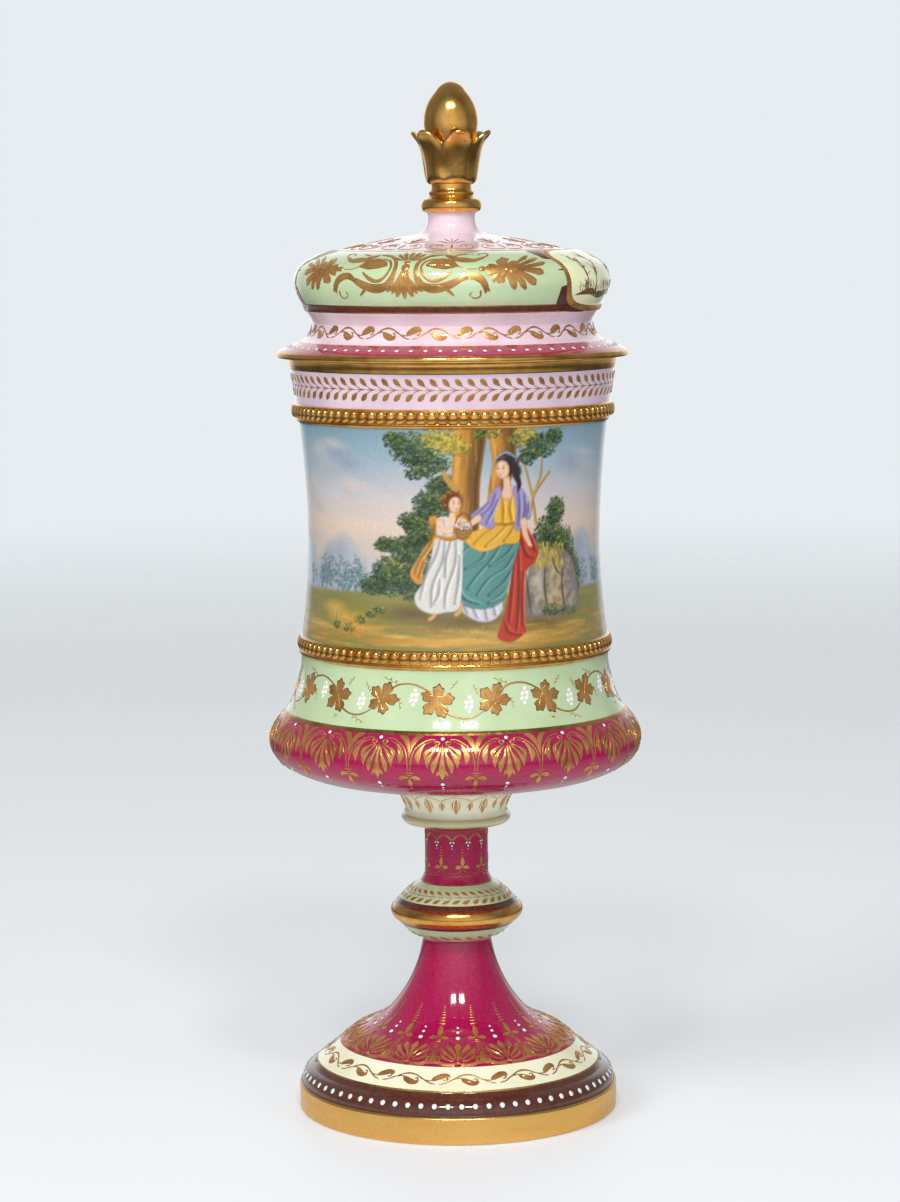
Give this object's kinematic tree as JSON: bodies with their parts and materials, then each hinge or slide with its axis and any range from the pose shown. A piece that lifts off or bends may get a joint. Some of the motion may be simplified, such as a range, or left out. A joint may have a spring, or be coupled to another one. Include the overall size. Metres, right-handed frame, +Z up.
{
  "type": "lidded footed porcelain cup",
  "caption": "Tall porcelain goblet with a trumpet foot, beaded rings, painted panel and a lift-off lid with a bud finial.",
  "frame": {"origin": "middle of the foot's standing ring, on the surface it stands on", "axes": "+Z up along the turning axis, -Y towards the front of the painted panel, +X to the viewer's right"},
  "size_m": [0.1308, 0.1308, 0.36],
  "materials": {
    "lid_glaze": "pale green and pink glaze with painted gilding and a burnished gold finial",
    "cup_glaze": "painted landscape panel between gilt beaded rings, green and magenta glaze, gilding and white enamel",
    "pedestal_glaze": "magenta glaze with cream, green and brown bands, gilding and white enamel dots"
  },
  "bodies": {
    "root": {"lid": "lid_glaze", "cup": "cup_glaze", "pedestal": "pedestal_glaze"}
  },
  "joints": []
}
